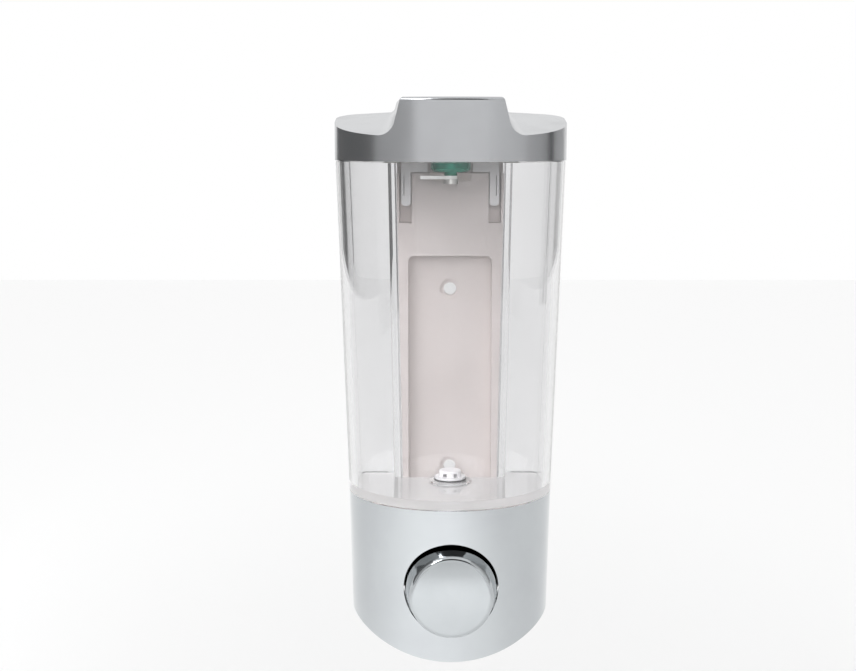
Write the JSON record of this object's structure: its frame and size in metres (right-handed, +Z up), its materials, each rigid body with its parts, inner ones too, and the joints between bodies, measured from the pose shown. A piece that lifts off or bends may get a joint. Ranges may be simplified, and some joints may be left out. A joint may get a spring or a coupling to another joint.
{
  "type": "wall mounted soap dispenser",
  "caption": "Wall soap dispenser: clear tapered tank on a hook plate, chrome base with a push-button piston pump, chrome lid with a cam lock and snap legs.",
  "frame": {"origin": "on the wall plate's back face, midway between its two screw holes", "axes": "+Z up along the wall, +Y into the wall, +X to the right as the user faces the front"},
  "size_m": [0.0892, 0.0658, 0.2108],
  "materials": {
    "plate_ivory": "moulded plastic, satin",
    "tank_clear": "clear moulded plastic, polished",
    "fitting_white": "moulded plastic, slightly translucent",
    "rubber_dark": "soft black rubber",
    "plastic_white": "moulded plastic",
    "liner_white": "moulded plastic",
    "lid_satin_chrome": "satin chrome plated plastic",
    "base_chrome": "bright chrome plated plastic",
    "button_chrome": "bright chrome plated plastic",
    "barrel_green": "glossy dark green plastic",
    "pump_natural": "natural moulded plastic",
    "ball_steel": "polished steel",
    "spring_steel": "drawn steel wire",
    "screw_steel": "zinc plated steel"
  },
  "bodies": {
    "wall": {"wall_plate": "plate_ivory"},
    "dispenser": {"reservoir": "tank_clear", "inlet_fitting": "fitting_white", "outlet_gasket": "rubber_dark", "inlet_nut": "plastic_white", "base_shell": "base_chrome", "base_frame": "plastic_white", "pump_body": "pump_natural", "pump_end_cap": "plastic_white", "inlet_seat": "plastic_white", "nozzle": "rubber_dark", "button_spring": "spring_steel", "outlet_spring": "spring_steel", "base_screw_1": "screw_steel", "base_screw_2": "screw_steel", "base_screw_3": "screw_steel", "base_screw_4": "screw_steel", "pump_screw_1": "screw_steel", "pump_screw_2": "screw_steel"},
    "lid": {"lid_shell": "lid_satin_chrome", "lid_liner": "liner_white", "lid_screw_1": "screw_steel", "lid_screw_2": "screw_steel", "lid_screw_3": "screw_steel", "lid_screw_4": "screw_steel"},
    "lock": {"lock_barrel": "barrel_green", "lock_cam": "plastic_white", "lock_cam_screw": "screw_steel"},
    "button": {"button": "button_chrome", "button_plunger": "plastic_white", "piston": "plastic_white", "piston_seal": "rubber_dark"},
    "inlet_ball": {"inlet_ball": "ball_steel"},
    "outlet_valve": {"outlet_valve": "plastic_white"}
  },
  "joints": [
    {"name": "unit_lift", "type": "slide", "parent": "wall", "child": "dispenser", "axis": [0, 0, 1], "range_m": [0, 0.008]},
    {"name": "lid_lift", "type": "slide", "parent": "dispenser", "child": "lid", "axis": [0, 0, 1], "range_m": [0, 0.04]},
    {"name": "lock_turn", "type": "hinge", "parent": "lid", "child": "lock", "pos_m": [0, -0.0235, 0.0813], "axis": [0, 0, -1], "range_deg": [0, 90]},
    {"name": "button_press", "type": "slide", "parent": "dispenser", "child": "button", "axis": [0, 1, 0], "range_m": [0, 0.008], "stiffness_N_per_m": 500, "springref_m": -0.005, "deforming": ["button_spring"]},
    {"name": "inlet_ball_lift", "type": "slide", "parent": "dispenser", "child": "inlet_ball", "axis": [0, 0, 1], "range_m": [0, 0.0015]},
    {"name": "outlet_valve_open", "type": "slide", "parent": "dispenser", "child": "outlet_valve", "axis": [0, 0, -1], "range_m": [0, 0.0015], "stiffness_N_per_m": 120, "springref_m": -0.002, "deforming": ["outlet_spring"]}
  ]
}
